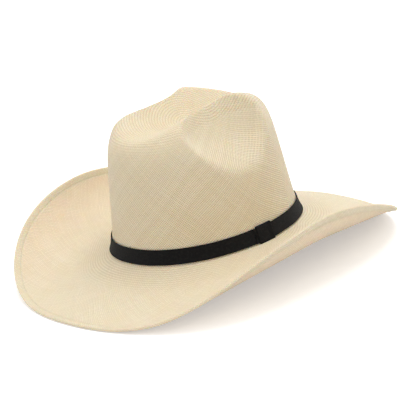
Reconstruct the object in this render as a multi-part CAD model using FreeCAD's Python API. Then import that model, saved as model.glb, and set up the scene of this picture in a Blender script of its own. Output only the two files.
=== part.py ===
import FreeCAD, Part
import math
import os
from FreeCAD import Vector

os.makedirs("parts", exist_ok=True)

# Western straw hat. Millimetres and degrees. +X is the wearer's left, -Y the front, +Z up.
# Lists of five are values at equal bearings from the front round to the back, left and right alike,
# or at equal steps from the front to the back of the crown's top.

# Head opening: the oval where the crown meets the brim, to the straw's outer face
half_width = 84.8
half_length = 104.3
oval_power = 2.12
straw = 0.9

# Crown block
crown_height = 118.0                            # height that the foot's flare is spread over
block_top = [119.5, 132.0, 140.0, 133.5, 120.0] # top of the plain block, front to back
corner_power = [11.0, 10.0, 9.5, 9.5, 13.0]     # higher makes a squarer shoulder
crown_lean = [10.0, 12.0, 13.0, 16.3, 17.0]     # how far each bearing leans in
foot_flare = 3.5                                # how far the wall's foot spreads outward
foot_height = 7.0
crown_reach = 84.0                              # half length that the front-to-back steps span
start_button = 2.0                              # flat disc at the middle of the crown

# Centre crease: pressed straight down into the block
crease_floor = [116.5, 115.0, 112.0, 111.0, 118.0]
crease_slope = [0.34, 0.66, 1.0, 1.05, 0.9]
crease_round = [20.0, 18.0, 12.0, 10.0, 10.0]
crease_lip = 4.5
crease_start = 60.0          # the press takes hold between these two heights
crease_full = 100.0

# Side dents: one each side, pressed inward and down
dent_depth_line = 47.5       # deepest line's distance from the middle plane
dent_rise_at_ends = 21.0
dent_middle = -15.0
dent_half_length = 60.0
dent_end_power = 2.8
dent_height = 97.0
dent_tilt = -0.12
dent_bow = 0.0036
dent_upper_slope = 0.36
dent_lower_slope = 1.2
dent_fold = 7.0
dent_lip = 5.5
dent_press_angle = 25.0
dent_start = 5.0             # the press takes hold between these two heights
dent_full = 40.0
dent_clear_middle = 30.0     # and this far from the middle plane
dent_reach = 80.0            # furthest that a point can be pressed

# Brim: measured along its own curve, from the crown out to the edge
brim_width = [92.4, 105.8, 107.9, 96.6, 90.4]
brim_edge_pitch = [4.4, 37.1, 80.2, 24.1, -29.3]
brim_root_pitch = [-23.0, -24.9, -3.0, -18.2, -13.7]
brim_curl_power = [3.2, 1.5, 2.0, 1.7, 2.65]

# Hem: the edge folded under round the wire
wire_radius = 0.38
wire_clearance = 0.21
sleeve_wall = 0.08
sleeve_clearance = 0.02
sleeve_length = 24.0
wire_end_gap = 1.0
hem_depth = 8.6
hem_gap = 0.12
hem_pinch = 5.0              # inset where the fold closes on the brim
hem_stitch_inset = 6.9
stitch_groove = 0.32
stitch_groove_half = 1.2

# Thread
thread_radius = 0.16
thread_clearance = 0.02
hem_stitch_length = 3.0
hem_stitch_pitch = 4.2

# Ribbon
ribbon_height = 14.4
ribbon_foot = 1.3
ribbon_thickness = 0.5
ribbon_gap = 0.92
ribbon_overlap = 24.0
ribbon_tail = 5.0
ribbon_notch = 3.5
lap_clearance = 0.06
keeper_width = 20.0
keeper_thickness = 0.4
keeper_clearance = 0.07
keeper_bearing = 90.0
keeper_slack = 0.35
tack_count = 6
tack_length = 2.4

# Sweatband
leather = 1.0
leather_height = 36.0
leather_foot = 0.9
leather_clearance = 0.12
butt_gap = 0.6
reed_radius = 0.7
reed_clearance = 0.05
tape = 0.25
tape_flange = 7.0
tape_gap = 0.3
tape_wrap_end = 440.0        # bearing on the reed where the wrap stops
reed_drop = 0.3
seam_height = 4.2
tape_stitch_height = 2.2
seam_pitch = 6.0
seam_stitch_length = 4.2
back_tape_width = 12.0
back_tape_top = 33.0
back_tape_gap = 0.25
bow_height = 9.0
bow_loop = 9.0
bow_loop_depth = 2.1
bow_ribbon = 3.2
bow_thickness = 0.3
bow_lift = 0.3
tail_length = 4.4
tail_drop = 5.2
tail_half_width = 1.3
knot_size = 2.2
knot_round = 0.4

# Fineness of the nets
ring_points = 96
wall_rows = 22
top_rows = 30
brim_rows = 22
wall_crowding = 1.25         # above 1 puts more rows near the brim
brim_crowding = 1.3
first_brim_share = 0.014
foot_rise = 1.4              # height of the first row above the brim


def around(values, angle):
    """Smooth even curve through values at equal bearings, front to back."""
    last = len(values) - 1
    total = 0.0
    for k in range(last + 1):
        share = 0.0
        for j, value in enumerate(values):
            weight = 0.5 if j in (0, last) else 1.0
            share += weight * value * math.cos(math.pi * j * k / last)
        share *= (1.0 if k in (0, last) else 2.0) / last
        total += share * math.cos(k * angle)
    return total


def along(values, y):
    """Smooth curve through values at equal steps over the crown's reach."""
    last = len(values) - 1
    place = (max(-1.08, min(1.08, y / crown_reach)) + 1) * last / 2
    total = 0.0
    for j, value in enumerate(values):
        term = value
        for i in range(last + 1):
            if i != j:
                term *= (place - i) / (j - i)
        total += term
    return total


def soft(amount, lip):
    """Zero below -lip, the amount itself above +lip, and a smooth bend between."""
    if amount <= -lip:
        return 0.0
    if amount >= lip:
        return amount
    return (amount + lip) ** 2 / (4 * lip)


def ease(low, high, value):
    """Smooth step from 0 to 1."""
    t = max(0.0, min(1.0, (value - low) / (high - low)))
    return t * t * (3 - 2 * t)


def oval(angle):
    """Point and outward direction on the head opening, from the front towards the left."""
    s, c = math.sin(angle), math.cos(angle)
    size = (abs(s) ** oval_power + abs(c) ** oval_power) ** (-1 / oval_power)
    nx = math.copysign(abs(s * size) ** (oval_power - 1), s) / half_width
    ny = -math.copysign(abs(c * size) ** (oval_power - 1), c) / half_length
    long = math.hypot(nx, ny)
    return half_width * s * size, -half_length * c * size, nx / long, ny / long


def press_dents(x, y, z):
    """Slide a point of the block inward until it lies on the side dent's face."""
    deep_z = dent_height + dent_tilt * y + dent_bow * y * y
    away = abs((y - dent_middle) / dent_half_length)
    deep_x = dent_depth_line + dent_rise_at_ends * away ** dent_end_power
    mean = (dent_upper_slope + dent_lower_slope) / 2
    bend = (dent_lower_slope - dent_upper_slope) / 2
    cb = math.cos(math.radians(dent_press_angle))
    sb = math.sin(math.radians(dent_press_angle))
    slide = 0.0
    for _ in range(4):
        rise = z - slide * sb - deep_z
        root = math.hypot(rise, dent_fold)
        dent_x = deep_x - mean * rise + bend * (root - dent_fold)
        slope = -mean + bend * rise / root
        slide += (abs(x) - slide * cb - dent_x) / (cb - slope * sb)
    slide = soft(max(-dent_reach, min(dent_reach, slide)), dent_lip)
    slide *= ease(0, dent_clear_middle, abs(x)) * ease(dent_start, dent_full, z)
    return x - math.copysign(slide * cb, x), z - slide * sb


def press_crease(x, y, z):
    """Push a point of the block down onto the centre crease."""
    blunt = along(crease_round, y)
    floor = along(crease_floor, y) + along(crease_slope, y) * (math.hypot(x, blunt) - blunt)
    return z - soft(z - floor, crease_lip) * ease(crease_start, crease_full, z)


def crown_face(angle, s):
    """Outer face of the crown. s runs from 0 at the brim to 1 at the middle of the top."""
    x, y, nx, ny = oval(angle)
    power = around(corner_power, angle)
    a, b = (1.0, 2 * s) if s < 0.5 else (2 * (1 - s), 1.0)
    size = (a ** power + b ** power) ** (1 / power)
    inward, up = a / size, b / size
    lean = around(crown_lean, angle) * up
    lean += foot_flare * (1 - math.exp(-up * crown_height / foot_height))
    x = (x - nx * lean) * inward
    y = (y - ny * lean) * inward
    z = along(block_top, y) * up
    x, z = press_dents(x, y, z)
    return Vector(x, y, press_crease(x, y, z))


def brim_face(angle, r, steps=24):
    """Top face of the brim, r along its curve from the crown."""
    x, y, nx, ny = oval(angle)
    width = around(brim_width, angle)
    root, edge = around(brim_root_pitch, angle), around(brim_edge_pitch, angle)
    power = around(brim_curl_power, angle)
    out = z = 0.0
    for k in range(steps):
        t = (k + 0.5) / steps * max(r, 0.0) / width
        pitch = math.radians(root + (edge - root) * t ** power)
        out += math.cos(pitch) * r / steps
        z += math.sin(pitch) * r / steps
    return Vector(x + out * nx, y + out * ny, z)


def pushed(face, angle, place, depth, step):
    """Point below a face by a depth, square to it. The step's sign picks the side."""
    point = face(angle, place)
    if depth == 0:
        return point
    turn = face(angle + 0.01, place) - face(angle - 0.01, place)
    run = face(angle, place + step) - face(angle, place - step)
    normal = turn.cross(run)
    normal.normalize()
    return point - normal * depth


def on_crown(angle, s, depth=0.0):
    return pushed(crown_face, angle, s, depth, 0.002)


def on_wall(angle, height, depth=0.0):
    """Point on the crown's lower wall. Depth is measured level, towards the head."""
    x, y, nx, ny = oval(angle)
    point = crown_face(angle, max(height, 0.0) / (2 * along(block_top, y)))
    return Vector(point.x - nx * depth, point.y - ny * depth, height)


def on_brim(angle, inset, depth=0.0):
    """Point on the brim, inset from its edge along its curve."""
    return pushed(brim_face, angle, around(brim_width, angle) - inset, depth, -0.2)


bearings = [2 * math.pi * k / ring_points for k in range(ring_points)]


def ring(place):
    return [place(angle) for angle in bearings]


def net_face(rows, closed):
    """Smooth face over a net of points. Rows are clamped, and a closed row joins its own start."""
    n, m = len(rows), len(rows[0])
    du, dv = min(3, n - 1), min(3, m - 1)
    u_mults = [du + 1] + [1] * (n - du - 1) + [du + 1]
    if closed:
        v_mults = [1] * (m + 1)
    else:
        v_mults = [dv + 1] + [1] * (m - dv - 1) + [dv + 1]
    surface = Part.BSplineSurface()
    surface.buildFromPolesMultsKnots(rows, u_mults, v_mults, list(range(len(u_mults))),
                                     list(range(len(v_mults))), False, closed, du, dv)
    return surface.toShape()


def disc(points):
    """Flat face inside a closed level ring."""
    m = len(points)
    curve = Part.BSplineCurve()
    curve.buildFromPolesMultsKnots(points, [1] * (m + 1), list(range(m + 1)), True, 3)
    return Part.Face(Part.Wire([curve.toShape()]))


def solid(faces):
    """Close a set of faces that share their borders."""
    shell = Part.makeShell(faces)
    shell.sewShape(0.005)
    body = Part.Solid(shell.Shells[0] if shell.Shells else shell)
    if body.Volume < 0:
        body.reverse()
    return body


def sheet(outer, inner, closed):
    """Solid between two nets with the same layout."""
    faces = [net_face(outer, closed), net_face(inner, closed)]
    for row in (0, -1):
        faces.append(net_face([outer[row], inner[row]], closed))
    if not closed:
        for end in (0, -1):
            faces.append(net_face([[r[end] for r in outer], [r[end] for r in inner]], False))
    return solid(faces)


def swell(radius, count):
    """Net radius that gives a smooth closed curve of the wanted radius."""
    return radius * 3 / (2 + math.cos(2 * math.pi / count))


def beside(line, angle, out, up):
    """Point beside a line round the hat, in the plane square to it."""
    ahead = line(angle + 0.01) - line(angle - 0.01)
    ahead.normalize()
    rise = Vector(0, 0, 1) - ahead * ahead.z
    rise.normalize()
    return line(angle) + ahead.cross(rise) * out + rise * up


def tube_rows(line, angles, radius, count=10):
    """Round sections of a tube along a line."""
    size = swell(radius, count)
    turns = [2 * math.pi * k / count for k in range(count)]
    return [[beside(line, a, size * math.cos(t), size * math.sin(t)) for t in turns] for a in angles]


def closed_tube(line, radius, count=8):
    """Endless tube round the hat."""
    rows = tube_rows(line, bearings, radius, count)
    m = len(rows)
    surface = Part.BSplineSurface()
    surface.buildFromPolesMultsKnots(rows, [1] * (m + 1), [1] * (count + 1), list(range(m + 1)),
                                     list(range(count + 1)), True, True, 3, 3)
    return Part.Solid(Part.Shell([surface.toShape()]))


def evenly(path, pitch):
    """Bearings at even distances along a closed line round the hat."""
    steps = 720
    points = [path(2 * math.pi * k / steps) for k in range(steps + 1)]
    runs = [0.0]
    for a, b in zip(points, points[1:]):
        runs.append(runs[-1] + a.distanceToPoint(b))
    count = max(4, round(runs[-1] / pitch))
    places, k = [], 0
    for i in range(count):
        goal = runs[-1] * i / count
        while runs[k + 1] < goal:
            k += 1
        places.append(2 * math.pi * (k + (goal - runs[k]) / (runs[k + 1] - runs[k])) / steps)
    return places


def stitch(path, angle, length):
    """One run of thread lying along a line round the hat."""
    middle = path(angle)
    along_line = path(angle + 0.01) - path(angle - 0.01)
    along_line.normalize()
    return Part.makeCylinder(thread_radius, length, middle - along_line * (length / 2), along_line)


def turn_for(path, angle, distance):
    """Change of bearing that covers a distance along a line."""
    return distance * 0.02 / path(angle + 0.01).distanceToPoint(path(angle - 0.01))


# Brim edge: the wire's channel, and the folded hem below the brim
channel_radius = wire_radius + wire_clearance
fold_radius = channel_radius + straw
hem_under = 2 * straw + hem_gap

channel = (fold_radius, fold_radius)


def circle(radius, turn):
    """Inset and depth on a circle round the channel's middle, turn 90 at the top."""
    t = math.radians(turn)
    return channel[0] - radius * math.cos(t), channel[1] - radius * math.sin(t)


def rows_for(outline):
    return [ring(lambda a: on_brim(a, inset, depth)) for inset, depth in outline]


groove = [(1, 0.0), (0.5, 0.6), (0, 1.6), (-0.5, 0.6), (-1, 0.0)]
top_groove = [(hem_stitch_inset + off * stitch_groove_half, stitch_groove * deep) for off, deep in groove]
under_groove = [(inset, hem_under - depth) for inset, depth in reversed(top_groove)]


# The straw sheet, outer side: from the middle of the crown to the brim's edge
def outer_rows(depth):
    rows = []
    for k in range(top_rows):
        s = 1 - 0.5 * (k + 1.2) / (top_rows + 1.2)
        rows.append(ring(lambda a: on_crown(a, s, depth)))
    for k in range(wall_rows):
        s = 0.5 * (1 - k / wall_rows) ** wall_crowding
        if 2 * s * crown_height > 2 * foot_rise:
            rows.append(ring(lambda a: on_crown(a, s, depth)))
    return rows


def button_row(depth):
    """Level ring round the middle of the crown's top."""
    level = press_crease(0.0, 0.0, along(block_top, 0.0)) - depth
    return [Vector(start_button * math.sin(a), -start_button * math.cos(a), level) for a in bearings]


def brim_row(share, depth):
    """Ring on the brim at a share of the way from the crown to the stitch groove."""
    def place(a):
        width = around(brim_width, a) - hem_stitch_inset - 2.5 * stitch_groove_half
        return pushed(brim_face, a, width * share, depth, -0.2)
    return ring(place)


rest = 1 - first_brim_share
shares = [first_brim_share + rest * (k / brim_rows) ** brim_crowding for k in range(brim_rows + 1)]

face_out = [button_row(0)] + outer_rows(0.0) + [ring(lambda a: on_wall(a, foot_rise))]
face_out.append(ring(lambda a: on_wall(a, 0.0)))
face_out += [brim_row(share, 0.0) for share in shares]
face_out += rows_for(top_groove)
face_out += rows_for([(hem_pinch - 0.6, 0.0), (fold_radius + 1.2, 0.0), (fold_radius, 0.0)])

fold = [circle(fold_radius, turn) for turn in (90, 60, 30, 0, -30, -60, -90)]
hem_low = fold + [(fold_radius + 1.2, hem_under + 0.7), (fold_radius + 2.3, hem_under + 0.15),
                  (hem_pinch, hem_under)]
hem_low += under_groove + [(hem_depth, hem_under)]
hem_up = [(hem_depth, straw + hem_gap), (hem_depth - 1.5, straw + hem_gap),
          (hem_pinch + 0.2, straw + hem_gap), (fold_radius + 2.3, straw + hem_gap + 0.15),
          (fold_radius + 1.2, straw + hem_gap + 0.6)]
hem_up += [circle(channel_radius, turn) for turn in (-90, -60, -30, 0, 30, 60, 90)]

face_in = rows_for([(inset, straw) for inset in (fold_radius, fold_radius + 1.4, hem_pinch + 0.2, 7.6)])
face_in += [brim_row(share, straw) for share in reversed(shares)]
face_in.append(ring(lambda a: on_wall(a, -0.7 * straw, 0.7 * straw)))
face_in.append(ring(lambda a: on_wall(a, foot_rise, straw)))
face_in += outer_rows(straw)[::-1] + [button_row(straw)]

low = min(point.z for row in rows_for(hem_low) for point in row)
back = max(point.y for point in face_out[-1])
front = min(point.y for point in face_out[-1])
shift = Vector(0, -(front + back) / 2, -low)


def write(name, pieces):
    """Place pieces on the ground, middle over the origin, and write them as one file."""
    shape = pieces[0] if len(pieces) == 1 else Part.makeCompound(pieces)
    shape.translate(shift)
    shape.exportStep("parts/" + name + ".step")
    print(name, len(pieces), shape.isValid(), round(shape.Volume / 1000, 3), "cm3")


body = solid([disc(face_out[0]), net_face(face_out, True), net_face(rows_for(hem_low), True),
              net_face(rows_for([hem_low[-1], hem_up[0]]), True), net_face(rows_for(hem_up), True),
              net_face(face_in, True), disc(face_in[-1])])
write("hat_body", [body])
print("shift", shift)


# Brim wire: one length of spring wire, its ends near each other inside a crimped sleeve at the back
def wire_line(a):
    return on_brim(a, channel[0], channel[1])


def span(start, end, count):
    return [start + (end - start) * k / count for k in range(count + 1)]


end_turn = turn_for(wire_line, math.pi, wire_end_gap / 2)
wire = tube_rows(wire_line, span(math.pi + end_turn, 3 * math.pi - end_turn, 330), wire_radius)
write("brim_wire", [solid([net_face(wire, True), disc(wire[0]), disc(wire[-1])])])

sleeve_turn = turn_for(wire_line, math.pi, sleeve_length / 2)
bore = wire_radius + sleeve_clearance
sleeve_span = span(math.pi - sleeve_turn, math.pi + sleeve_turn, 8)
sleeve_in = tube_rows(wire_line, sleeve_span, bore)
sleeve_out = tube_rows(wire_line, sleeve_span, bore + sleeve_wall)
write("brim_wire_sleeve", [sheet(sleeve_out, sleeve_in, True)])


# Hem thread: runs lying in the groove above and below the brim
def hem_line(depth):
    return lambda a: on_brim(a, hem_stitch_inset, depth)


thread_lift = thread_radius + thread_clearance
above = hem_line(stitch_groove * 1.3 - thread_lift)
below = hem_line(hem_under - stitch_groove * 1.3 + thread_lift)
hem_places = evenly(above, hem_stitch_pitch)
hem_runs = [stitch(line, a, hem_stitch_length) for line in (above, below) for a in hem_places]
write("hem_stitching", hem_runs)


# Ribbon: one strip round the crown's foot. Its outer end lies over its inner end, cut to a swallowtail
def ribbon_line(a):
    return on_wall(a, ribbon_foot + ribbon_height / 2, -ribbon_gap)


keeper_middle = math.radians(keeper_bearing)
ribbon_start = keeper_middle - turn_for(ribbon_line, keeper_middle, keeper_width / 2 + ribbon_tail)
overlap_turn = turn_for(ribbon_line, keeper_middle, ribbon_overlap)
notch_turn = turn_for(ribbon_line, keeper_middle, ribbon_notch)
lap_rise = ribbon_thickness + lap_clearance


def ribbon_net(lift):
    rows = []
    for k in range(7):
        share = k / 6
        begin = ribbon_start + notch_turn * (1 - abs(2 * share - 1))
        height = ribbon_foot + ribbon_height * share
        row = []
        for a in span(begin, ribbon_start + 2 * math.pi + overlap_turn, 130):
            past = (a - ribbon_start) / overlap_turn
            rise = lap_rise * (1 - ease(1.15, 1.8, past))
            row.append(on_wall(a, height, -(ribbon_gap + rise + lift)))
        rows.append(row)
    return rows


write("ribbon_band", [sheet(ribbon_net(ribbon_thickness), ribbon_net(0), False)])

# Keeper: loop of ribbon round the overlap
keeper_turn = turn_for(ribbon_line, keeper_middle, keeper_width / 2)
stack = ribbon_gap + lap_rise + ribbon_thickness


def keeper_net(grow):
    low_h = ribbon_foot - keeper_slack - grow
    high_h = ribbon_foot + ribbon_height + keeper_slack + grow
    face_d = stack + keeper_clearance + grow
    back_d = ribbon_gap - keeper_clearance - grow
    heights = [low_h + (high_h - low_h) * f for f in (0, 0.04, 0.2, 0.5, 0.8, 0.96, 1)]
    path = [(h, face_d) for h in heights] + [(high_h, (face_d + back_d) / 2)]
    path += [(h, back_d) for h in reversed(heights)] + [(low_h, (face_d + back_d) / 2)]
    return [[on_wall(a, h, -d) for h, d in path]
            for a in span(keeper_middle - keeper_turn, keeper_middle + keeper_turn, 5)]


write("ribbon_keeper", [sheet(keeper_net(keeper_thickness), keeper_net(0), True)])


# Tacks: a thread over the ribbon's upper edge and into the straw
def tack(a):
    top = ribbon_foot + ribbon_height
    proud = ribbon_gap + ribbon_thickness + thread_lift
    points = [on_wall(a, top - tack_length / 2, -proud), on_wall(a, top + thread_lift, -proud),
              on_wall(a, top + tack_length / 2, -thread_lift)]
    piece = Part.makeSphere(thread_radius, points[1])
    for p, q in zip(points, points[1:]):
        piece = piece.fuse(Part.makeCylinder(thread_radius, p.distanceToPoint(q), p, q - p))
    return piece


tack_places = [keeper_middle + 2 * math.pi * (k + 0.5) / tack_count for k in range(tack_count)]
write("band_tacks", [tack(a) for a in tack_places])

# Sweatband reed, in the corner where the crown meets the brim
sleeve_mid = reed_radius + reed_clearance + tape / 2
reed_depth = straw + tape_gap + sleeve_mid + tape / 2


def reed_line(a):
    return on_wall(a, -reed_drop, reed_depth)


write("sweatband_reed", [closed_tube(reed_line, reed_radius)])


# Reed tape: a flange up the crown's wall, then a wrap under and round the reed
def tape_net(lift):
    flange = reed_depth - sleeve_mid
    rows = [ring(lambda a: on_wall(a, h, flange + lift)) for h in (tape_flange, 5.4, 3.8, 2.4, 1.2, 0.4)]
    for turn in span(180, tape_wrap_end, 13):
        t = math.radians(turn)
        size = sleeve_mid - lift
        rows.append(ring(lambda a: beside(reed_line, a, -size * math.cos(t), size * math.sin(t))))
    return rows


write("reed_tape", [sheet(tape_net(-tape / 2), tape_net(tape / 2), True)])

# Sweatband: leather strip, its ends butted at the back
leather_depth = reed_depth - sleeve_mid + tape / 2 + leather_clearance
leather_inner = leather_depth + leather


def leather_line(a):
    return on_wall(a, 10.0, leather_inner)


butt_turn = turn_for(leather_line, math.pi, butt_gap / 2)
leather_span = span(math.pi + butt_turn, 3 * math.pi - butt_turn, ring_points)


def leather_net(depth):
    heights = [leather_foot + (leather_height - leather_foot) * (k / 16) ** 1.5 for k in range(17)]
    return [[on_wall(a, h, depth) for a in leather_span] for h in heights]


write("sweatband", [sheet(leather_net(leather_depth), leather_net(leather_inner), False)])


# Sweatband thread
def level_line(height, depth):
    return lambda a: on_wall(a, height, depth)


tape_line = level_line(tape_stitch_height, leather_inner + thread_lift)
write("tape_stitching", [stitch(tape_line, a, hem_stitch_length)
                         for a in evenly(tape_line, hem_stitch_pitch)
                         if abs(a - math.pi) > 2 * butt_turn + turn_for(tape_line, math.pi, 1.5)])
seam_line = level_line(seam_height, -thread_lift)
write("seam_stitching", [stitch(seam_line, a, seam_stitch_length) for a in evenly(seam_line, seam_pitch)])

# Cloth strip behind the butt joint
back_turn = turn_for(leather_line, math.pi, back_tape_width / 2)
back_span = span(math.pi - back_turn, math.pi + back_turn, 6)
back_heights = span(tape_flange + 0.8, back_tape_top, 6)


def back_net(depth):
    return [[on_wall(a, h, depth) for a in back_span] for h in back_heights]


back_depth = straw + back_tape_gap
write("sweatband_back_tape", [sheet(back_net(back_depth), back_net(back_depth + tape), False)])


# Bow: two flat loops, two tails and a knot over the butt joint
def at_back(across, height, proud):
    return on_wall(math.pi + turn_for(leather_line, math.pi, 1) * across, height, leather_inner + proud)


def bow_side(side):
    """One flat loop and the tail under it."""
    # Shares of the loop's length and depth, from the knot out and back
    outline = [(0.05, 0.28), (0.25, 0.0), (0.65, 0.0), (0.93, 0.14), (1.0, 0.48), (0.93, 0.81),
               (0.65, 1.0), (0.25, 0.76)]
    heights = span(bow_height - bow_ribbon / 2, bow_height + bow_ribbon / 2, 3)
    reach = bow_loop - knot_size / 2

    def loop(inset):
        path = []
        for far, deep in outline:
            across, proud = (far - 0.5) * reach, (deep - 0.5) * bow_loop_depth
            gap = math.hypot(across, proud * 3)
            k = 1 - inset * 2.2 / gap
            path.append((knot_size / 2 + reach / 2 + across * k, bow_lift + bow_loop_depth / 2 + proud * k))
        return [[at_back(side * across, h, proud) for across, proud in path] for h in heights]

    def tail(proud):
        rows = []
        for share in span(0, 1, 4):
            x = side * (tail_half_width + 0.3 + tail_length * share)
            h = bow_height - bow_ribbon / 2 - 2 * bow_lift - tail_drop * share
            rows.append([at_back(x - tail_half_width, h, proud), at_back(x + tail_half_width, h + 0.8, proud)])
        return rows

    return [sheet(loop(0), loop(bow_thickness), True),
            sheet(tail(bow_lift + 0.1), tail(bow_lift + 0.1 + bow_thickness), False)]


knot_height = bow_ribbon + 0.5
knot = Part.makeBox(knot_size, knot_size, knot_height)
knot = knot.makeFillet(knot_round, knot.Edges)
knot.translate(at_back(0, bow_height, bow_lift + knot_size / 2)
               - Vector(knot_size / 2, knot_size / 2, knot_height / 2))
write("sweatband_bow", bow_side(1) + bow_side(-1) + [knot])
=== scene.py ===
# %% [markdown]
# # A western straw hat
#
# The hat is one woven sheet, pulled over a block. The crown has a long crease on top and a dent
# on each side, and the brim curls up at the sides. Its edge is folded under round a wire. A black
# ribbon goes round the crown's foot, and a leather band is sewn inside. The plain solids of all
# these pieces are the frame here: we load them first, and build each visible piece in their place.

# %% Load the frame
import functools
import math

import bmesh
import bpy
from mathutils import Matrix, Vector, noise


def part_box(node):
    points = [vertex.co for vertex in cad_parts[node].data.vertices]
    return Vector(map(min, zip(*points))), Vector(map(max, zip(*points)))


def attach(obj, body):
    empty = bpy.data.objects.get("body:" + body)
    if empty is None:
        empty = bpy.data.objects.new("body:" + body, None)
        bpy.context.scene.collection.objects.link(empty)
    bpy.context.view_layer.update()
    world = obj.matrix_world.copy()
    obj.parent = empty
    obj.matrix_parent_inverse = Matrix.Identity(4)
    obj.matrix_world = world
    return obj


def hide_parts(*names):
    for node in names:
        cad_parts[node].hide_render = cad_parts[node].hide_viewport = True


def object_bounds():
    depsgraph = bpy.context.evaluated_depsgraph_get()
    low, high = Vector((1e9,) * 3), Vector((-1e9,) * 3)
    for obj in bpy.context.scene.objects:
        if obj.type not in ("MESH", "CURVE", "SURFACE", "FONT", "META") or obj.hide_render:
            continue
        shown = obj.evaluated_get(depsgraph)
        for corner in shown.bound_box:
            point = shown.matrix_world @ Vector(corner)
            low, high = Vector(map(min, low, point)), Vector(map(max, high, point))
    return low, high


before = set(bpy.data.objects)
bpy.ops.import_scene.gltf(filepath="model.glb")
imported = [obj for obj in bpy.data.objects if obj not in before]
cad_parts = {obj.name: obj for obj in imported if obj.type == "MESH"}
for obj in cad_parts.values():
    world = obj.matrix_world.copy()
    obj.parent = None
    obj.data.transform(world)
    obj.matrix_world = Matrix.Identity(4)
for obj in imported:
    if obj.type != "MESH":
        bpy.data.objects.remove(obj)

cad_low, cad_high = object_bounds()
print("frame box", [round(b - a, 4) for a, b in zip(cad_low, cad_high)], "m")

# %% [markdown]
# ## Where the head opening is
#
# Every shape below is worked out in millimetres above the head opening, the oval where the crown
# turns into the brim. The reed of the sweatband follows that oval all the way round and the
# ribbon stands just above it, so their boxes say where the opening is in the frame.

# %% Place of the head opening
MM = 0.001
ribbon_foot = 1.3
reed_low, reed_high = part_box("sweatband_reed")
ribbon_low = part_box("ribbon_band")[0]
opening = Vector((0, (reed_low[1] + reed_high[1]) / 2, ribbon_low[2] - ribbon_foot * MM))
print("head opening at", [round(c * 1000, 2) for c in opening], "mm")

# %% [markdown]
# ## Curves that describe the hat
#
# A hat maker checks a hat at a few stations: front, front quarter, side, back quarter and back.
# `around` runs a smooth even curve through five such values, so the left and right sides match.
# `along` does the same for values taken from the front to the back of the crown's top.

# %% Curves through stations
@functools.lru_cache(None)
def waves(values):
    """Sizes of the even waves whose sum passes through the values."""
    last = len(values) - 1
    sizes = []
    for k in range(last + 1):
        share = 0.0
        for j, value in enumerate(values):
            weight = 0.5 if j in (0, last) else 1.0
            share += weight * value * math.cos(math.pi * j * k / last)
        sizes.append(share * (1.0 if k in (0, last) else 2.0) / last)
    return sizes


def around(values, angle):
    """Smooth even curve through values at equal bearings, front to back."""
    return sum(size * math.cos(k * angle) for k, size in enumerate(waves(tuple(values))))


def along(values, y):
    """Smooth curve through values at equal steps over the crown's top."""
    last = len(values) - 1
    place = (max(-1.08, min(1.08, y / 84.0)) + 1) * last / 2
    total = 0.0
    for j, value in enumerate(values):
        term = value
        for i in range(last + 1):
            if i != j:
                term *= (place - i) / (j - i)
        total += term
    return total


def soft(amount, lip):
    """Zero below -lip, the amount itself above lip, and a smooth bend between."""
    if amount <= -lip:
        return 0.0
    if amount >= lip:
        return amount
    return (amount + lip) ** 2 / (4 * lip)


def ease(low, high, value):
    t = max(0.0, min(1.0, (value - low) / (high - low)))
    return t * t * (3 - 2 * t)


# %% [markdown]
# ## The crown
#
# The plain block is a dome with square shoulders over the oval. The maker then presses it twice:
# the crease straight down, and the dents in from the sides. Pressing is modelled as it is done:
# a point of the block slides until it lies on the pressing form, with a soft lip at the rim.
# A sculpted or displaced mesh could do it too, but a formula keeps both sides equal.

# %% The crown's face
half_width, half_length, oval_power = 84.8, 104.3, 2.12
block_top = [119.5, 132.0, 140.0, 133.5, 120.0]
corner_power = [11.0, 10.0, 9.5, 9.5, 13.0]
crown_lean = [10.0, 12.0, 13.0, 16.3, 17.0]
crease_floor = [116.5, 115.0, 112.0, 111.0, 118.0]
crease_slope = [0.34, 0.66, 1.0, 1.05, 0.9]
crease_round = [20.0, 18.0, 12.0, 10.0, 10.0]


def oval(angle):
    """Point and outward direction on the head opening, from the front towards the left."""
    s, c = math.sin(angle), math.cos(angle)
    size = (abs(s) ** oval_power + abs(c) ** oval_power) ** (-1 / oval_power)
    nx = math.copysign(abs(s * size) ** (oval_power - 1), s) / half_width
    ny = -math.copysign(abs(c * size) ** (oval_power - 1), c) / half_length
    long = math.hypot(nx, ny)
    return half_width * s * size, -half_length * c * size, nx / long, ny / long


def press_dents(x, y, z):
    """Slide a point of the block inward until it lies on the side dent."""
    deep_z = 97.0 - 0.12 * y + 0.0036 * y * y
    deep_x = 47.5 + 21.0 * abs((y + 15.0) / 60.0) ** 2.8
    mean, bend, fold = 0.78, 0.42, 7.0
    cb, sb = math.cos(math.radians(25)), math.sin(math.radians(25))
    slide = 0.0
    for _ in range(4):
        rise = z - slide * sb - deep_z
        root = math.hypot(rise, fold)
        dent_x = deep_x - mean * rise + bend * (root - fold)
        slide += (abs(x) - slide * cb - dent_x) / (cb + (mean - bend * rise / root) * sb)
    slide = soft(max(-80.0, min(80.0, slide)), 5.5) * ease(0, 30, abs(x)) * ease(5, 40, z)
    return x - math.copysign(slide * cb, x), z - slide * sb


def press_crease(x, y, z):
    """Push a point of the block down onto the crease."""
    blunt = along(crease_round, y)
    floor = along(crease_floor, y) + along(crease_slope, y) * (math.hypot(x, blunt) - blunt)
    return z - soft(z - floor, 4.5) * ease(60, 100, z)


def crown_face(angle, s):
    """Outer face of the crown. s runs from 0 at the brim to 1 at the middle of the top."""
    x, y, nx, ny = oval(angle)
    power = around(corner_power, angle)
    a, b = (1.0, 2 * s) if s < 0.5 else (2 * (1 - s), 1.0)
    size = (a ** power + b ** power) ** (1 / power)
    inward, up = a / size, b / size
    lean = around(crown_lean, angle) * up + 3.5 * (1 - math.exp(-up * 118.0 / 7.0))
    x = (x - nx * lean) * inward
    y = (y - ny * lean) * inward
    x, z = press_dents(x, y, along(block_top, y) * up)
    return Vector((x, y, press_crease(x, y, z)))


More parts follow.
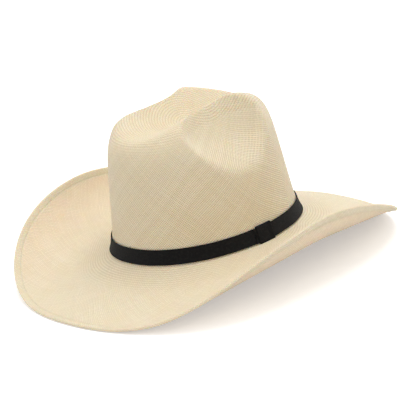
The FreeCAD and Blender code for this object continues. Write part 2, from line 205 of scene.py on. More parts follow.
print("crown height at the middle", round(crown_face(0, 1).z, 1), "mm")

# %% [markdown]
# ## The brim
#
# The brim is a strip of nearly constant width that leaves the crown at one pitch and reaches its
# edge at another. Adding up small steps along that changing pitch gives the curve, as a maker
# bends it over a flange. `pushed` finds points below a face, square to it, for the underside.

# %% The brim's face
brim_width = [92.4, 105.8, 107.9, 96.6, 90.4]
brim_edge_pitch = [4.4, 37.1, 80.2, 24.1, -29.3]
brim_root_pitch = [-23.0, -24.9, -3.0, -18.2, -13.7]
brim_curl_power = [3.2, 1.5, 2.0, 1.7, 2.65]


def brim_face(angle, r, steps=24):
    """Top face of the brim, r along its curve from the crown."""
    x, y, nx, ny = oval(angle)
    width = around(brim_width, angle)
    root, edge = around(brim_root_pitch, angle), around(brim_edge_pitch, angle)
    power = around(brim_curl_power, angle)
    out = z = 0.0
    for k in range(steps):
        t = (k + 0.5) / steps * max(r, 0.0) / width
        pitch = math.radians(root + (edge - root) * t ** power)
        out += math.cos(pitch) * r / steps
        z += math.sin(pitch) * r / steps
    return Vector((x + out * nx, y + out * ny, z))


def pushed(face, angle, place, depth, step):
    """Point below a face by a depth, square to it. The step's sign picks the side."""
    point = face(angle, place)
    if depth == 0:
        return point
    turn = face(angle + 0.01, place) - face(angle - 0.01, place)
    run = face(angle, place + step) - face(angle, place - step)
    return point - turn.cross(run).normalized() * depth


def on_crown(angle, s, depth=0.0):
    return pushed(crown_face, angle, s, depth, 0.002)


def on_wall(angle, height, depth=0.0):
    """Point on the crown's lower wall. Depth is measured level, towards the head."""
    x, y, nx, ny = oval(angle)
    point = crown_face(angle, max(height, 0.0) / (2 * along(block_top, y)))
    return Vector((point.x - nx * depth, point.y - ny * depth, height))


def on_brim(angle, inset, depth=0.0):
    """Point on the brim, inset from its edge along its curve."""
    return pushed(brim_face, angle, around(brim_width, angle) - inset, depth, -0.2)


print("brim reaches", round(brim_face(math.pi / 2, brim_width[2]).x, 1), "mm to the side")

# %% [markdown]
# ## Growing a shell ring by ring
#
# Most pieces of a hat are closed rings stacked along a profile. So there is one tool: start with
# a circle, extrude its edges, and set each new ring where the formulas say. The rings start at
# the back, which hides the line where a pattern wraps, and are evenly spaced along the oval.
# Each face also gets a UV: how far round it is, and how far along the profile.

# %% Bearings evenly spaced round the oval
def even_bearings(path, steps, count=None, pitch=None, start=0.0):
    """Bearings at even distances along a closed line round the hat, and the line's length."""
    points = [path(start + 2 * math.pi * k / steps) for k in range(steps + 1)]
    runs = [0.0]
    for a, b in zip(points, points[1:]):
        runs.append(runs[-1] + (b - a).length)
    count = count or round(runs[-1] / pitch)
    places, k = [], 0
    for i in range(count):
        goal = runs[-1] * i / count
        while runs[k + 1] < goal:
            k += 1
        part = (goal - runs[k]) / (runs[k + 1] - runs[k])
        places.append(start + 2 * math.pi * (k + part) / steps)
    return places, runs[-1]


RING = 240
STITCH = 2.4
bearings, girth = even_bearings(lambda a: Vector(oval(a)[:2]), 1440, count=RING, start=math.pi)
print("girth of the head opening", round(girth, 1), "mm, outside the straw")


# %% The ring tools
def start_ring(bm, points, closed):
    """First row of a shell: a circle, or a chain of vertices, laid on the points."""
    if closed:
        made = bmesh.ops.create_circle(bm, segments=len(points), radius=1.0)
        ring = sorted(made["verts"], key=lambda v: math.atan2(v.co.y, v.co.x))
    else:
        ring = [bm.verts.new(p) for p in points]
        for a, b in zip(ring, ring[1:]):
            bm.edges.new((a, b))
    for vert, point in zip(ring, points):
        vert.co = point
    return ring


def next_ring(bm, ring, points, closed):
    """Extrude a row of vertices to its next place."""
    pairs = zip(ring, ring[1:] + (ring[:1] if closed else []))
    made = bmesh.ops.extrude_edge_only(bm, edges=[bm.edges.get(pair) for pair in pairs])
    fresh = {g for g in made["geom"] if isinstance(g, bmesh.types.BMVert)}
    row = [next(e.other_vert(v) for e in v.link_edges if e.other_vert(v) in fresh) for v in ring]
    for vert, point in zip(row, points):
        vert.co = point
    return row


def grow(rows, closed, chart, gap_shade_amount=lambda row, k: 0.0):
    """Shell through rows of points. chart(face_row, row, k, turn) gives the two UVs of a corner."""
    bm = bmesh.new()
    weave, growth = bm.loops.layers.uv.new("Weave"), bm.loops.layers.uv.new("Growth")
    # Per-vertex amount of painted gap shade for the straw, partly a more open weave.
    open_weave_and_shade = bm.verts.layers.float.new("open_weave_and_shade")
    rings = [start_ring(bm, rows[0], closed)]
    for points in rows[1:]:
        rings.append(next_ring(bm, rings[-1], points, closed))
    place = {vert: (i, k) for i, ring in enumerate(rings) for k, vert in enumerate(ring)}
    for vert, (i, k) in place.items():
        vert[open_weave_and_shade] = gap_shade_amount(i, k)
    count = len(rows[0])
    for face in bm.faces:
        spots = [place[loop.vert] for loop in face.loops]
        low_row = min(i for i, k in spots)
        wraps = closed and {0, count - 1} <= {k for i, k in spots}
        for loop, (i, k) in zip(face.loops, spots):
            turn = (count if wraps and k == 0 else k) / count
            loop[weave].uv, loop[growth].uv = chart(low_row, i, k, turn)
    return bm, rings


def close_end(bm, ring, fan=False):
    """Fill the hole inside a ring, as one face or as a fan of triangles."""
    edges = [bm.edges.get(pair) for pair in zip(ring, ring[1:] + ring[:1])]
    faces = bmesh.ops.contextual_create(bm, geom=edges)["faces"]
    if fan:
        faces = bmesh.ops.poke(bm, faces=faces)["faces"]
    weave = bm.loops.layers.uv["Weave"]
    for face in faces:
        for loop in face.loops:
            loop[weave].uv = loop.vert.co.xy / STITCH


def finish_piece(bm, name, material, smooth=True):
    """Move a shell from millimetres about the opening into the frame, and make it an object."""
    bmesh.ops.recalc_face_normals(bm, faces=bm.faces)
    bmesh.ops.scale(bm, vec=(MM, MM, MM), verts=bm.verts)
    bmesh.ops.translate(bm, vec=opening, verts=bm.verts)
    for face in bm.faces:
        face.smooth = smooth
    mesh = bpy.data.meshes.new(name)
    bm.to_mesh(mesh)
    bm.free()
    piece = bpy.data.objects.new(name, mesh)
    bpy.context.scene.collection.objects.link(piece)
    mesh.materials.append(material)
    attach(piece, "root")
    print(name, len(mesh.vertices), "vertices", len(mesh.polygons), "faces")
    return piece


# %% [markdown]
# ## Small helpers for node trees
#
# Materials here are built from nodes. `add` places a node and joins or sets its inputs in order,
# and `calc` is a math node. A shared effect is a node group, made once with named sockets.

# %% Node helpers
def add(tree, kind, *inputs, **settings):
    node = tree.nodes.new(kind)
    for key, value in settings.items():
        setattr(node, key, value)
    for socket, value in zip(node.inputs, inputs):
        if isinstance(value, bpy.types.NodeSocket):
            tree.links.new(value, socket)
        elif value is not None:
            socket.default_value = value
    return node


def calc(tree, operation, *inputs):
    return add(tree, "ShaderNodeMath", *inputs, operation=operation).outputs[0]


def ramp(tree, value, low, high, low_out=0.0, high_out=1.0):
    node = add(tree, "ShaderNodeMapRange", value, low, high, low_out, high_out)
    node.interpolation_type = "SMOOTHSTEP"
    return node.outputs[0]


def blend_colour(tree, share, first, second, mode="MIX"):
    node = tree.nodes.new("ShaderNodeMix")
    node.data_type = "RGBA"
    node.blend_type = mode
    for socket, value in zip((node.inputs[0], node.inputs[6], node.inputs[7]), (share, first, second)):
        if isinstance(value, bpy.types.NodeSocket):
            tree.links.new(value, socket)
        else:
            socket.default_value = value
    return node.outputs[2]


def new_group(name, inputs, outputs):
    """Shader node group with named sockets. Returns its tree and its input and output nodes."""
    tree = bpy.data.node_groups.new(name, "ShaderNodeTree")
    for label, kind, value in inputs:
        socket = tree.interface.new_socket(label, in_out="INPUT", socket_type=kind)
        if value is not None:
            socket.default_value = value
    for label, kind in outputs:
        tree.interface.new_socket(label, in_out="OUTPUT", socket_type=kind)
    return tree, tree.nodes.new("NodeGroupInput"), tree.nodes.new("NodeGroupOutput")


def use_group(tree, group, **values):
    """Place a group in a tree. A value may be a socket or a number; its name has _ for a space."""
    node = tree.nodes.new("ShaderNodeGroup")
    node.node_tree = group
    for key, value in values.items():
        socket = node.inputs[key.replace("_", " ")]
        if isinstance(value, bpy.types.NodeSocket):
            tree.links.new(value, socket)
        else:
            socket.default_value = value
    return node


def new_material(name, **shader):
    """Material with one Principled shader, its plain values set on the shader itself."""
    material = bpy.data.materials.new(name)
    material.use_nodes = True
    tree = material.node_tree
    principled = tree.nodes["Principled BSDF"]
    for key, value in shader.items():
        principled.inputs[key.replace("_", " ")].default_value = value
    return material, tree, principled


FLOAT, VECTOR = "NodeSocketFloat", "NodeSocketVector"

# %% [markdown]
# ## The straw weave
#
# A hat of this kind is plaited from the middle of the crown outward, one strand over and one
# under, so the strands run diagonally and cross. The group below draws that from a UV counted in
# stitches: turning the UV by 45 degrees gives the two families of strands. Each strand is a low
# ridge that rises where it goes over and sinks where it goes under, and the higher one shows.
# Every strand gets its own tone, and painted shade darkens the small holes between the strands.

# %% Diagonal weave group
def diagonal_weave():
    tree, come, go = new_group("Diagonal weave", [("Stitches", VECTOR, None), ("Fibre", FLOAT, 0.5)],
                               [("Height", FLOAT), ("Tone", FLOAT), ("Painted gap shade", FLOAT)])
    spot = add(tree, "ShaderNodeSeparateXYZ", come.outputs["Stitches"])
    x, y = spot.outputs[0], spot.outputs[1]
    a, b = calc(tree, "ADD", x, y), calc(tree, "SUBTRACT", x, y)
    strand_a, strand_b = calc(tree, "FLOOR", a), calc(tree, "FLOOR", b)
    in_a, in_b = calc(tree, "FRACT", a), calc(tree, "FRACT", b)
    even = calc(tree, "FLOORED_MODULO", calc(tree, "ADD", strand_a, strand_b), 2.0)
    side = calc(tree, "MULTIPLY_ADD", even, -2.0, 1.0)

    def ridge(across, length, sign):
        away = calc(tree, "MULTIPLY_ADD", across, 2.0, -1.0)
        crown = calc(tree, "SUBTRACT", 1.0, calc(tree, "POWER", calc(tree, "ABSOLUTE", away), 2.4))
        wave = calc(tree, "MULTIPLY", calc(tree, "SINE", calc(tree, "MULTIPLY", length, math.pi)), sign)
        return calc(tree, "ADD", calc(tree, "MULTIPLY", crown, 0.55), calc(tree, "MULTIPLY", wave, 0.3))

    high_a = ridge(in_a, in_b, side)
    high_b = ridge(in_b, in_a, calc(tree, "MULTIPLY", side, -1.0))
    height = calc(tree, "SMOOTH_MAX", high_a, high_b, 0.08)
    a_shows = calc(tree, "GREATER_THAN", high_a, high_b)
    tone_a = add(tree, "ShaderNodeTexWhiteNoise", None, calc(tree, "ADD", strand_a, 0.5),
                 noise_dimensions="1D")
    tone_b = add(tree, "ShaderNodeTexWhiteNoise", None, calc(tree, "ADD", strand_b, 900.5),
                 noise_dimensions="1D")

    def fibres(across, length):
        spot = add(tree, "ShaderNodeCombineXYZ", calc(tree, "MULTIPLY", across, 9.0),
                   calc(tree, "MULTIPLY", length, 0.7), 0.0).outputs[0]
        return add(tree, "ShaderNodeTexNoise", spot, noise_dimensions="2D").outputs[0]

    def choose(value_a, value_b):
        return calc(tree, "MULTIPLY_ADD", calc(tree, "SUBTRACT", value_a, value_b), a_shows, value_b)

    own = choose(tone_a.outputs[0], tone_b.outputs[0])
    grain = choose(fibres(a, b), fibres(b, a))
    tone = calc(tree, "MULTIPLY_ADD", calc(tree, "SUBTRACT", grain, 0.5), come.outputs["Fibre"], own)
    # Painted shade: where the strands sink, in the holes between them, the colour is darkened.
    gap_shade = ramp(tree, height, 0.6, 0.28)
    tree.links.new(height, go.inputs["Height"])
    tree.links.new(tone, go.inputs["Tone"])
    tree.links.new(gap_shade, go.inputs["Painted gap shade"])
    return tree


weave_group = diagonal_weave()


# %% [markdown]
# ## Slow variation
#
# Natural straw is never one colour over a whole hat: it is a little greyer here and warmer
# there. One group gives that slow change from a plain noise on the object's own coordinates.

# %% Slow variation group
def slow_change():
    tree, come, go = new_group("Slow change", [("Place", VECTOR, None), ("Size", FLOAT, 30.0)],
                               [("Amount", FLOAT)])
    cloud = add(tree, "ShaderNodeTexNoise", come.outputs["Place"], None, None, 3.0, 0.55)
    tree.links.new(come.outputs["Size"], cloud.inputs["Scale"])
    tree.links.new(ramp(tree, cloud.outputs[0], 0.3, 0.7), go.inputs["Amount"])
    return tree


slow_group = slow_change()


# %% Straw material
def make_straw():
    material, tree, shader = new_material("Natural straw", Specular_IOR_Level=0.3, Subsurface_Weight=0.4,
                                          Subsurface_Radius=(1.0, 0.42, 0.16), Subsurface_Scale=0.002)
    chart = add(tree, "ShaderNodeUVMap", uv_map="Weave").outputs[0]
    growth = add(tree, "ShaderNodeSeparateXYZ", add(tree, "ShaderNodeUVMap", uv_map="Growth").outputs[0])
    gap_shade_amount = add(tree, "ShaderNodeAttribute", attribute_name="open_weave_and_shade").outputs["Fac"]
    place = add(tree, "ShaderNodeTexCoord").outputs["Object"]
    weave = use_group(tree, weave_group, Stitches=chart, Fibre=0.8)
    slow = use_group(tree, slow_group, Place=place, Size=30.0)
    tone = ramp(tree, weave.outputs["Tone"], -0.9, 1.9)
    colour = blend_colour(tree, tone, (0.71, 0.60, 0.42, 1), (0.86, 0.755, 0.58, 1))
    colour = blend_colour(tree, calc(tree, "MULTIPLY", slow.outputs["Amount"], 0.3), colour,
                          (0.77, 0.645, 0.43, 1))
    # Painted shade: the weave's holes get a dark brown, strongest low on the crown's wall, partly a more
    # open weave.
    gap_shade = calc(tree, "MULTIPLY", weave.outputs["Painted gap shade"], ramp(tree, gap_shade_amount, 0.0, 1.0, 0.35, 0.95))
    colour = blend_colour(tree, gap_shade, colour, (0.34, 0.215, 0.085, 1))
    wave = calc(tree, "SINE", calc(tree, "MULTIPLY", growth.outputs[0], 2 * math.pi / 1.15))
    row = calc(tree, "MULTIPLY", ramp(tree, wave, -0.2, 1.0), growth.outputs[1])
    colour = blend_colour(tree, calc(tree, "MULTIPLY", row, 0.38), colour, (0.50, 0.37, 0.20, 1))
    tree.links.new(colour, shader.inputs["Base Color"])
    rough = calc(tree, "MULTIPLY_ADD", weave.outputs["Tone"], 0.1, 0.5)
    tree.links.new(rough, shader.inputs["Roughness"])
    height = calc(tree, "MULTIPLY_ADD", row, -0.4, weave.outputs["Height"])
    bump = add(tree, "ShaderNodeBump", 1.0, 0.0004)
    tree.links.new(height, bump.inputs["Height"])
    tree.links.new(bump.outputs[0], shader.inputs["Normal"])
    return material


straw_material = make_straw()

# %% [markdown]
# ## The straw sheet
#
# Now the sheet itself. Its rows start at the middle of the crown's top and run over the top,
# down the wall and out along the brim to its edge. There they fold round the wire and go back
# under the brim, then inside the crown. So the straw has a real thickness everywhere, and the
# folded hem is part of the same sheet, as on the real hat. A Solidify modifier would give the
# thickness too, but it could not make the fold.

# %% Rows of the sheet
straw = 0.9
channel, fold = 0.59, 1.49
under = 2 * straw + 0.12
hem_stitch_inset, hem_depth = 6.9, 8.6
rows, kinds = [], []


def add_rows(kind, places):
    """Rows of one kind, each given as a function of the bearing."""
    for place in places:
        rows.append([place(a) for a in bearings])
        kinds.append(kind)


def face_rows(depth):
    """Rows on the crown's top and then its wall, at a depth below the outer face."""
    top = [1 - 0.5 * (k + 0.9) / 44.9 for k in range(44)]
    wall = [0.5 * (1 - k / 34) ** 1.25 for k in range(34)]
    tip = [lambda a, s=s: on_crown(a, s, depth) for s in top]
    side = [lambda a, s=s: on_crown(a, s, depth) for s in wall if s > 0.012]
    return tip, side + [lambda a: on_wall(a, 1.4, depth)]


def brim_rows(depth):
    """Rows on the brim at a depth, from the crown to near the hem's seam."""
    shares = [0.014 + 0.986 * (k / 38) ** 1.2 for k in range(39)]
    return [lambda a, t=t: pushed(brim_face, a, (around(brim_width, a) - 9.9) * t, depth, -0.2)
            for t in shares]


def edge_rows(outline):
    return [lambda a, i=i, d=d: on_brim(a, i, d) for i, d in outline]


def arc(radius, *turns):
    """Inset and depth on a circle round the wire, turn 90 at the top."""
    turns = [math.radians(t) for t in turns]
    return [(fold - radius * math.cos(t), fold - radius * math.sin(t)) for t in turns]


seam = [(1.6, 0.0), (1.2, 0.03), (0.6, 0.21), (0.0, 0.4), (-0.6, 0.21), (-1.2, 0.03), (-1.6, 0.0)]
seam_top = [(hem_stitch_inset + off, deep) for off, deep in seam]
seam_under = [(i, under - d) for i, d in reversed(seam_top)]

tip, side = face_rows(0.0)
add_rows("tip", tip)
add_rows("wall", side + [lambda a: on_wall(a, 0.0)])
out = brim_rows(0.0)
add_rows("brim", out[:22])
add_rows("edge", out[22:] + edge_rows(seam_top + [(4.2, 0.0), (2.8, 0.0)]))
add_rows("hem", edge_rows(arc(fold, 90, 65, 40, 15, -10, -35, -60, -90)))
add_rows("hem", edge_rows([(2.4, under + 0.68), (3.4, under + 0.22), (4.7, under)] + seam_under))
add_rows("hem", edge_rows([(hem_depth - 0.15, under), (hem_depth, under - 0.15), (hem_depth, straw + 0.25),
                           (hem_depth - 0.15, straw + 0.12), (5.2, straw + 0.12), (2.7, straw + 0.6)]))
add_rows("hem", edge_rows(arc(channel, -90, -30, 30, 90)))
add_rows("edge", edge_rows([(2.8, straw), (5.2, straw), (7.6, straw)]) + brim_rows(straw)[:21:-1])
add_rows("brim", brim_rows(straw)[21::-1])
tip, side = face_rows(straw)
add_rows("wall", [lambda a: on_wall(a, -0.63, 0.63)] + side[::-1])
add_rows("tip", tip[::-1])
print(len(rows), "rows of", RING, "points")

# %% [markdown]
# ## Where the weave grows
#
# A plaiter works outward in rounds and adds strands as the round gets longer. The added strands
# show as faint rings. So the sheet is divided into zones, and each zone has a whole number of
# stitches round the hat. Along the profile the stitches are simply counted by real distance.

# %% Zones and stitch counts
zone_length = {"tip": 7.0, "wall": 500.0, "brim": 6.5, "edge": 15.0, "hem": 60.0}
reach = [[0.0] * RING]
for low, high in zip(rows, rows[1:]):
    reach.append([r + (q - p).length / STITCH for r, p, q in zip(reach[-1], low, high)])
mean_reach = [sum(r) / RING * STITCH for r in reach]
marks = [0]
for i in range(1, len(rows) - 1):
    if kinds[i] != kinds[marks[-1]] or mean_reach[i] - mean_reach[marks[-1]] >= zone_length[kinds[i]]:
        marks.append(i)
marks.append(len(rows) - 1)
zone_of, counts = [], []
for start, end in zip(marks, marks[1:]):
    middle = rows[(start + end) // 2]
    length = sum((q - p).length for p, q in zip(middle, middle[1:] + middle[:1]))
    counts.append(max(6, round(length / STITCH)))
    zone_of += [len(counts) - 1] * (end - start)
print(len(counts), "zones, with", counts[0], "to", max(counts), "stitches round")


def ring_strength(row):
    """How much the rounds show: most on the crown's top and beside the crown, none elsewhere."""
    kind = kinds[row]
    if kind == "tip":
        return 1.0
    if kind == "wall":
        return 0.8 * ease(100, 138, max(p.z for p in rows[row]))
    return 0.0 if kind != "brim" else ease(0.0, 1.0, min(1.0, abs(row - rim_row[row > len(rows) / 2]) / 12))


rim_row = [max(i for i, kind in enumerate(kinds[:len(rows) // 2]) if kind == "brim"),
           min(i for i, kind in enumerate(kinds) if kind == "brim" and i > len(rows) // 2)]


def straw_chart(face_row, row, k, turn):
    return ((turn * counts[zone_of[face_row]], reach[row][k]), (reach[row][k], ring_strength(row)))


# %% Build the straw sheet
def low_wall_gaps_and_shade(row, k):
    """Gaps show most low on the crown's wall: partly a more open weave, partly painted shade."""
    return 1 - ease(75, 125, rows[row][k].z) if kinds[row] == "wall" else 0.0


bm, rings = grow(rows, True, straw_chart, low_wall_gaps_and_shade)
close_end(bm, rings[0], fan=True)
close_end(bm, rings[-1], fan=True)
straw_hat = finish_piece(bm, "straw_hat", straw_material)
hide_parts("hat_body")

# %% [markdown]
# ## Thread
#
# The hem is sewn with a row of short stitches that shows above and below the brim, and the
# sweatband with two more rows. A stitch is a small rounded run of twisted thread. There are
# hundreds, so each is one stretched ball of few faces, made by an operator with a matrix that
# places, turns and stretches it.

# %% Thread material and stitches
def twisted_thread():
    """Group: the twist of a thread, drawn across its length on a UV."""
    tree, come, go = new_group("Twisted thread", [("Along", VECTOR, None), ("Turns", FLOAT, 5.0)],
                               [("Height", FLOAT), ("Tone", FLOAT)])
    spot = add(tree, "ShaderNodeSeparateXYZ", come.outputs["Along"])
    slant = calc(tree, "MULTIPLY_ADD", spot.outputs[1], come.outputs["Turns"], spot.outputs[0])
    ply = calc(tree, "ABSOLUTE", calc(tree, "SINE", calc(tree, "MULTIPLY", slant, 2 * math.pi)))
    fuzz = add(tree, "ShaderNodeTexNoise", come.outputs["Along"], None, 40.0, 2.0, noise_dimensions="3D")
    tree.links.new(ply, go.inputs["Height"])
    tree.links.new(calc(tree, "MULTIPLY_ADD", fuzz.outputs[0], 0.6, calc(tree, "MULTIPLY", ply, 0.5)),
                   go.inputs["Tone"])
    return tree


thread_group = twisted_thread()


def thread_material(name, dark, light, turns=5.0):
    material, tree, shader = new_material(name, Roughness=0.7, Sheen_Weight=0.2)
    spot = add(tree, "ShaderNodeUVMap", uv_map="Thread").outputs[0]
    twist = use_group(tree, thread_group, Along=spot, Turns=turns)
    colour = blend_colour(tree, ramp(tree, twist.outputs["Tone"], 0.1, 1.0), dark, light)
    tree.links.new(colour, shader.inputs["Base Color"])
    rough = calc(tree, "MULTIPLY_ADD", twist.outputs["Height"], -0.2, 0.85)
    tree.links.new(rough, shader.inputs["Roughness"])
    bump = add(tree, "ShaderNodeBump", 0.8, 0.00008)
    tree.links.new(twist.outputs["Height"], bump.inputs["Height"])
    tree.links.new(bump.outputs[0], shader.inputs["Normal"])
    return material


BATCH = 24


def lay_stitches(name, material, paths, pitch, length, radius, keep=lambda a: True):
    """Rows of stitches along lines. They are made in small batches, which is much faster."""
    places = even_bearings(paths[0], 720, pitch=pitch)[0]
    spots = [(path, a) for path in paths for a in places if keep(a)]
    whole = bmesh.new()
    for start in range(0, len(spots), BATCH):
        batch = bmesh.new()
        batch.loops.layers.uv.new("Thread")
        for path, a in spots[start:start + BATCH]:
            ahead = (path(a + 0.01) - path(a - 0.01)).normalized()
            turn = Vector((0, 0, 1)).rotation_difference(ahead).to_matrix().to_4x4()
            stretch = Matrix.Diagonal((radius, radius, length / 2, 1.0))
            bmesh.ops.create_uvsphere(batch, u_segments=8, v_segments=6, radius=1.0, calc_uvs=True,
                                      matrix=Matrix.Translation(path(a)) @ turn @ stretch)
        mesh = bpy.data.meshes.new("batch")
        batch.to_mesh(mesh)
        batch.free()
        whole.from_mesh(mesh)
        bpy.data.meshes.remove(mesh)
    print(len(spots), "stitches")
    return finish_piece(whole, name, material)


straw_thread = thread_material("Straw-coloured thread", (0.56, 0.44, 0.27, 1), (0.86, 0.76, 0.58, 1))
hem_lines = [lambda a: on_brim(a, hem_stitch_inset, 0.22),
             lambda a: on_brim(a, hem_stitch_inset, under - 0.22)]
hem_stitches = lay_stitches("hem_stitches", straw_thread, hem_lines, 4.2, 3.3, 0.24)
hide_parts("hem_stitching")

# %% [markdown]
# ## The ribbon
#
# The band is grosgrain: a ribbon with fine ribs across its width. It lies round the crown's foot,
# and its end lies over its start on the wearer's left, cut to a swallowtail. The section of the
# ribbon is a flat loop, and it is extruded along the crown's foot. A little slow waviness keeps
# it from looking like a moulded ring.

# %% Grosgrain material
def grosgrain():
    tree, come, go = new_group("Grosgrain", [("Ribs", VECTOR, None), ("Width", FLOAT, 14.4)],
                               [("Height", FLOAT), ("Tone", FLOAT)])
    spot = add(tree, "ShaderNodeSeparateXYZ", come.outputs["Ribs"])
    rib = calc(tree, "ABSOLUTE", calc(tree, "SINE", calc(tree, "MULTIPLY", spot.outputs[0], math.pi)))
    rib = calc(tree, "POWER", rib, 0.7)
    warp = calc(tree, "SINE", calc(tree, "MULTIPLY", spot.outputs[1], 2 * math.pi / 0.32))
    far_edge = calc(tree, "SUBTRACT", come.outputs["Width"], spot.outputs[1])
    from_edge = calc(tree, "MINIMUM", spot.outputs[1], far_edge)
    inside = ramp(tree, from_edge, 0.2, 0.8)
    height = calc(tree, "MULTIPLY_ADD", calc(tree, "MULTIPLY", rib, inside), 0.8,
                  calc(tree, "MULTIPLY", warp, 0.08))
    lint = add(tree, "ShaderNodeTexNoise", come.outputs["Ribs"], None, 0.35, 4.0, 0.7)
    tree.links.new(height, go.inputs["Height"])
    fluff = ramp(tree, lint.outputs[0], 0.4, 0.75)
    tree.links.new(calc(tree, "MULTIPLY_ADD", height, 0.35, fluff), go.inputs["Tone"])
    return tree


grosgrain_group = grosgrain()


def ribbon_material():
    material, tree, shader = new_material("Black grosgrain", Specular_IOR_Level=0.15, Sheen_Weight=0.04)
    chart = add(tree, "ShaderNodeUVMap", uv_map="Weave").outputs[0]
    cloth = use_group(tree, grosgrain_group, Ribs=chart, Width=14.4)
    colour = blend_colour(tree, ramp(tree, cloth.outputs["Tone"], 0.0, 1.3), (0.0025, 0.0025, 0.003, 1),
                          (0.011, 0.0105, 0.010, 1))
    tree.links.new(colour, shader.inputs["Base Color"])
    rough = calc(tree, "MULTIPLY_ADD", cloth.outputs["Height"], -0.15, 0.9)
    tree.links.new(rough, shader.inputs["Roughness"])
    bump = add(tree, "ShaderNodeBump", 1.0, 0.00016)
    tree.links.new(cloth.outputs["Height"], bump.inputs["Height"])
    tree.links.new(bump.outputs[0], shader.inputs["Normal"])
    return material


black_grosgrain = ribbon_material()

# %% Ribbon band
ribbon_height, ribbon_thickness, ribbon_gap = 14.4, 0.5, 0.92
RIB = 0.9


def ribbon_line(a):
    return on_wall(a, ribbon_foot + ribbon_height / 2, -ribbon_gap)


def turn_for(path, angle, distance):
    """Change of bearing that covers a distance along a line."""
    return distance * 0.02 / (path(angle + 0.01) - path(angle - 0.01)).length


keeper_middle, keeper_width = math.radians(90), 20.0
ribbon_start = keeper_middle - turn_for(ribbon_line, keeper_middle, keeper_width / 2 + 5.0)
overlap_turn = turn_for(ribbon_line, keeper_middle, 24.0)
notch_turn = turn_for(ribbon_line, keeper_middle, 3.5)
lap_rise = ribbon_thickness + 0.06


def flat_section(thickness):
    """Closed section of a flat strip: shares of its height, and how far proud each point is."""
    half = [0.012, 0.03, 0.12, 0.25, 0.38, 0.5, 0.62, 0.75, 0.88, 0.97, 0.988]
    return ([(0.0, thickness / 2)] + [(h, thickness) for h in half] + [(1.0, thickness / 2)]
            + [(h, 0.0) for h in reversed(half)])


def ribbon_rows(count):
    section = flat_section(ribbon_thickness)
    table, runs = [], []
    for i in range(count + 1):
        row = []
        for share, lift in section:
            begin = ribbon_start + notch_turn * (1 - abs(2 * share - 1))
            end = ribbon_start + 2 * math.pi + overlap_turn
            a = begin + (end - begin) * i / count
            past = (a - ribbon_start) / overlap_turn
            rise = lap_rise * (1 - ease(1.15, 1.8, past)) + lift
            rise += 0.12 * noise.noise(Vector((math.cos(a) * 4, math.sin(a) * 4, share))) + 0.1
            row.append(on_wall(a, ribbon_foot + ribbon_height * share, -(ribbon_gap + rise)))
        table.append(row)
    return table, section


ribbon_table, ribbon_section = ribbon_rows(440)
ribbon_run = [0.0]
for p, q in zip(ribbon_table, ribbon_table[1:]):
    ribbon_run.append(ribbon_run[-1] + (q[6] - p[6]).length / RIB)


def ribbon_chart(face_row, row, k, turn):
    return (ribbon_run[row], ribbon_section[k][0] * ribbon_height), (0.0, 0.0)


bm, rings = grow(ribbon_table, True, ribbon_chart)
close_end(bm, rings[0])
close_end(bm, rings[-1])
ribbon = finish_piece(bm, "black_ribbon", black_grosgrain)
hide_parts("ribbon_band")

# %% [markdown]
# ## The keeper
#
# A short loop of the same ribbon holds the overlap down. Its strip goes up over the front of the
# ribbon and back down behind it. The strip's section is extruded round that loop, and the last
# row is bridged to the first, so the loop closes.

# %% Ribbon keeper
keeper_turn = turn_for(ribbon_line, keeper_middle, keeper_width / 2)
stack = ribbon_gap + lap_rise + ribbon_thickness
front_depth, back_depth = stack + 0.45, ribbon_gap - 0.17


def keeper_path():
    """Height and distance proud of the straw, up the front and down the back."""
    low, high = ribbon_foot - 1.0, ribbon_foot + ribbon_height + 1.0
    middle, half = (front_depth + back_depth) / 2, (front_depth - back_depth) / 2
    path = [(low + (high - low) * t, front_depth + 0.15 * math.sin(math.pi * t)) for t in
            (0.03, 0.15, 0.3, 0.45, 0.6, 0.75, 0.88, 0.97)]
    path += [(high + 0.1, middle + half * 0.6), (high + 0.15, middle), (high + 0.1, middle - half * 0.6)]
    path += [(low + (high - low) * t, back_depth) for t in (0.97, 0.75, 0.5, 0.25, 0.03)]
    path += [(low - 0.1, middle - half * 0.6), (low - 0.15, middle), (low - 0.1, middle + half * 0.6)]
    return path


def keeper_rows():
    path = keeper_path()
    section = flat_section(0.4)
    table = []
    for i, (height, proud) in enumerate(path):
        h0, p0 = path[i - 1]
        h1, p1 = path[(i + 1) % len(path)]
        run = math.hypot(h1 - h0, p1 - p0)
        out_h, out_p = -(p1 - p0) / run, (h1 - h0) / run
        row = []
        for share, lift in section:
            a = keeper_middle + keeper_turn * (2 * share - 1)
            off = lift - 0.2
            row.append(on_wall(a, height + out_h * off, -(proud + out_p * off)))
        table.append(row)
    return table, section


keeper_table, keeper_section = keeper_rows()


def keeper_chart(face_row, row, k, turn):
    return (keeper_table[row][k].z / RIB, keeper_section[k][0] * keeper_width), (0.0, 0.0)


bm, rings = grow(keeper_table, True, keeper_chart)
ends = [bm.edges.get(pair) for ring in (rings[0], rings[-1]) for pair in zip(ring, ring[1:] + ring[:1])]
bmesh.ops.bridge_loops(bm, edges=ends)
keeper = finish_piece(bm, "black_keeper", black_grosgrain)
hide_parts("ribbon_keeper")

# %% [markdown]
# ## The sweatband
#
# Inside the crown a strip of thin leather goes round the head, its ends butted at the back. It is
# sewn at its foot and free at its top, so it stands a little unevenly. Like the ribbon, its
# section is a closed loop extruded round the head. The grain is small cells with creases between
# them, and the upper edge is rubbed lighter.

